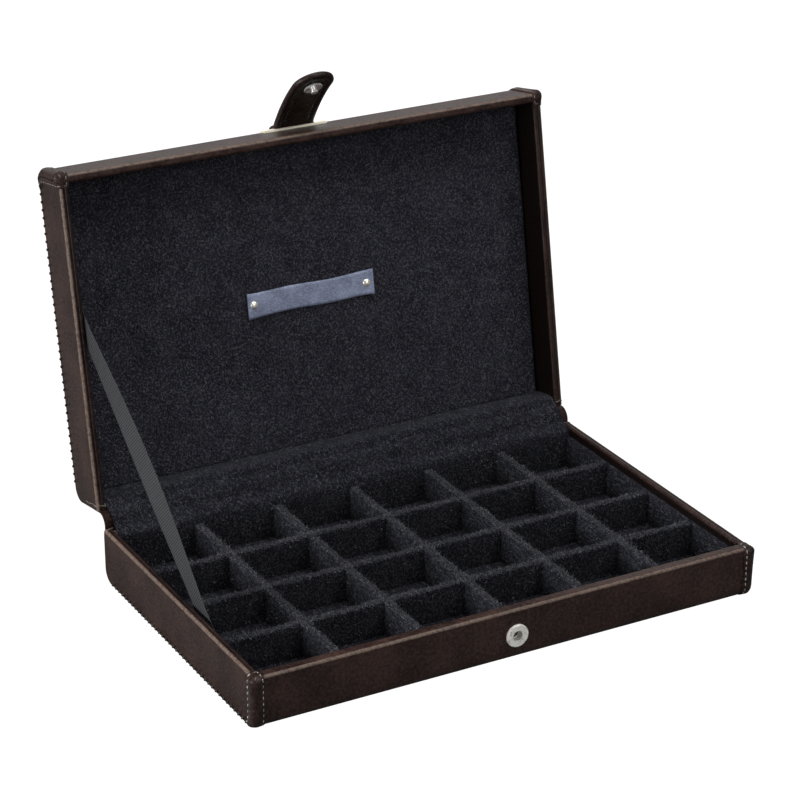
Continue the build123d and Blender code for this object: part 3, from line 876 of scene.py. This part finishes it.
def metal(name, colour, rough, wear, full=1.0, hole=None):
    """Worn metal. Round a hole in the front wall it is painted darker in patches as the shade of a
    dented face, and in the hole it is painted dark as shade.
    """
    finish = Finish(name)
    place = finish.place()
    cloud = finish.noise(place, 240.0, 4.0, 0.6)
    scuff = finish.noise(finish.place((1, 1, 8)), 1500.0, 3.0)
    shine = finish.blend(cloud.step(0.3, 0.7), tuple(c * 0.86 for c in colour), colour)
    if hole is not None:
        x, z = (finish.add("SeparateXYZ", Vector=place, out=k) - hole[k] for k in (0, 2))
        # painted shade of a dented face
        dent_shade = finish.noise(place, 900.0, 2.0).step(0.54, 0.66)
        shine = finish.blend(dent_shade * 0.45, shine, (0.2, 0.185, 0.17))
        # painted shade inside the hole
        ring = ((x * x + z * z) ** 0.5).step(0.0021, 0.0025)
        shine = finish.blend(ring, (0.08, 0.07, 0.06), shine)
    return finish.shade(Base_Color=shine, Metallic=full, Roughness=rough + (cloud - 0.5) * wear,
                        Normal=finish.relief(scuff + cloud * 0.5, 0.00004, 0.5))


label = skin("label", in_place(label_grid(), "lid"), label_finish(), "lid",
             wrap=(False, True))
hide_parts("label_strip")
dress("label_rivets", metal("pale_rivet", (0.9, 0.86, 0.76), 0.24, 0.2, 0.7))

# Plate and closing tab
# A thin gilt plate folds over the front edge of the lid, held by three rivets. The tab is two
# leathers; the outer one turns over the edge of the inner one, and a row of dark stitches
# follows the edge. It carries the stud of the snap.

gilt = metal("gilt_plate", (0.95, 0.9, 0.74), 0.36, 0.2, 0.25)
nickel = metal("nickel", (0.86, 0.85, 0.83), 0.24, 0.25, 0.7)
# painted light: the socket is a lighter copy of the nickel
lit_socket_nickel = metal("lit_socket_nickel", (0.96, 0.94, 0.88), 0.24, 0.25, 0.4, middle_of("snap_socket"))
dress("tab_plate", gilt)
dress("plate_rivets", gilt)
dress("snap_socket", lit_socket_nickel)
for name in ("snap_socket_washer", "snap_stud", "snap_cap"):
    dress(name, nickel)
dress("tab_tail", brown)

tab_lean, tab_curl, tab_bend = radians(41), radians(16.5), 0.10813
tab_half, tab_tip = 0.01025, 0.011
tab_curled = tab_bend * tab_curl
tab_straight = tab_curled + tab_tip - tab_half
tab_middle = middle_of("snap_cap").x
tab_root = np.array([-half_y - 0.001, lid_rim + 0.018])
tab_side_count, tab_tip_count = 29, 26
tab_count = 2 * tab_side_count + tab_tip_count


def tab_place(points):
    """Set points given as across, along and off the inner face on the open tab."""
    across, along, off = np.moveaxis(np.asarray(points, float), -1, 0)
    turn = tab_lean + np.clip(along, None, tab_curled) / tab_bend
    out = np.stack([-np.sin(turn), np.cos(turn)], -1)
    way = np.stack([-np.cos(turn), -np.sin(turn)], -1)
    first = np.array([-sin(tab_lean), cos(tab_lean)])
    spot = tab_root - first * tab_bend + out * (tab_bend + off)[..., None]
    spot = spot + way * np.clip(along - tab_curled, 0, None)[..., None]
    return opened(np.concatenate([tab_middle + across[..., None], spot], -1))


def tab_edge(inset, off):
    """Points at an inset from the edge, up one side, round the tip and down the other."""
    side = np.linspace(0.0002, tab_straight, tab_side_count + 1)[:-1]
    turn = np.linspace(pi, 0, tab_tip_count)
    radius = tab_half - inset
    tip = np.stack([radius * np.cos(turn), tab_straight + radius * np.sin(turn)], -1)
    edge = np.concatenate([np.stack([0 * side - radius, side], -1), tip,
                           np.stack([0 * side + radius, side[::-1]], -1)])
    return np.column_stack([edge, np.full(tab_count, off)])


rolled = [(inset, 0.0004) for inset in (tab_half, 0.0075, 0.005, 0.0034)]
rolled += [(0.0030, 0.0003), (0.0026, 0.0001), (0.0022, -0.0001)]
rolled += [(0.0011 - 0.0011 * sin(a), 0.0015 - 0.0015 * cos(a)) for a in np.linspace(0, pi, 11)]
rolled += [(inset, 0.003) for inset in (0.003, 0.006, tab_half)]
grid = tab_place(np.stack([tab_edge(inset, off) for inset, off in rolled], 1))
tab_brown = leather("tab_leather", (0.0062, 0.0031, 0.0025), (0.0165, 0.009, 0.0075), 0.3)
tab = skin("tab_leathers", grid, tab_brown, "tab")
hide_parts("tab_inner_leather", "tab_outer_leather")

row_inset = 0.0041
row = tab_place(tab_edge(row_inset, 0.0003)[3:-3])
row_facing = tab_place(tab_edge(row_inset, -0.001)[3:-3]) - row
spots, ways = path_steps(row, 0.0026)
nearest = [np.argmin(np.linalg.norm(row - spot, axis=1)) for spot in spots]
tab_thread = thread_finish("tab_thread", (0.02, 0.0185, 0.017), (0.085, 0.083, 0.08))
stitches("tab_stitches", spots, ways, row_facing[nearest], 0.0018, 0.0005, 0.00045, tab_thread, "tab")

# Floor, light and camera
# A white floor that runs out of sight, broad lamps to the left, overhead, in front and
# behind, and a camera at the height and side that the case is seen from.

floor_half = 8
floor_share = 0.82  # of plain white that the camera sees over the lit floor
white_glow = 1.3
room_light = 0.13


def floor_finish():
    finish = Finish("white_floor")
    finish.set("Principled BSDF", Base_Color=(0.2, 0.2, 0.2), Roughness=1, Specular_IOR_Level=0)
    lit = Field(finish.tree, finish.tree.nodes["Principled BSDF"].outputs[0])
    seen = finish.add("LightPath")
    glow = finish.add("Emission", Strength=white_glow)
    mixed = finish.add("MixShader", places={0: seen * floor_share, 1: lit, 2: glow})
    finish.set("Material Output", Surface=mixed)
    return finish.material


corners = [(x * floor_half, y * floor_half, 0) for x, y in ((-1, -1), (1, -1), (1, 1), (-1, 1))]
mesh("floor", corners, [(0, 1, 2, 3)], floor_finish())

scene.world = bpy.data.worlds.new("studio")
sky = Shading(scene.world)
seen = sky.add("LightPath")
strength = sky.add("MapRange", Value=seen, To_Min=room_light, To_Max=white_glow)
sky.set("Background", Color=(1, 1, 1), Strength=strength)


def softbox(name, place, aim, size, power):
    """A broad lamp, turned to face a place."""
    light = bpy.data.lights.new(name, "AREA")
    light.shape = "RECTANGLE"
    light.size, light.size_y = size
    light.energy = power
    lamp = bpy.data.objects.new(name, light)
    scene.collection.objects.link(lamp)
    lamp.location = place
    lamp.rotation_euler = (Vector(aim) - Vector(place)).to_track_quat("-Z", "Y").to_euler()


softbox("left_box", (-1.4, 0.1, 0.36), (0, 0, 0.08), (1.1, 0.5), 28)
softbox("top_box", (-0.1, 0.05, 1.4), (0, 0, 0.05), (1.0, 0.8), 16)
softbox("front_box", (0.2, -1.6, 1.0), (0, 0, 0.1), (0.9, 0.8), 9.4)
softbox("fold_box", (0.62, -0.35, 1.15), (0, -0.05, 0.05), (0.35, 0.35), 5)
softbox("back_box", (0.7, 2.3, 0.85), (0, 0, 0.1), (3.2, 1.2), 11)

camera_side, camera_down = radians(28.73), radians(23.98)
level_share = cos(camera_down)
camera = bpy.data.cameras.new("camera")
camera.lens = 126.11
camera.sensor_width = 36
view = bpy.data.objects.new("camera", camera)
scene.collection.objects.link(view)
view.location = (-0.5566, -0.99047, 0.59928)
ahead = Vector((sin(camera_side) * level_share, cos(camera_side) * level_share, -sin(camera_down)))
view.rotation_euler = ahead.to_track_quat("-Z", "Y").to_euler()
scene.camera = view
scene.view_settings.view_transform = "Standard"
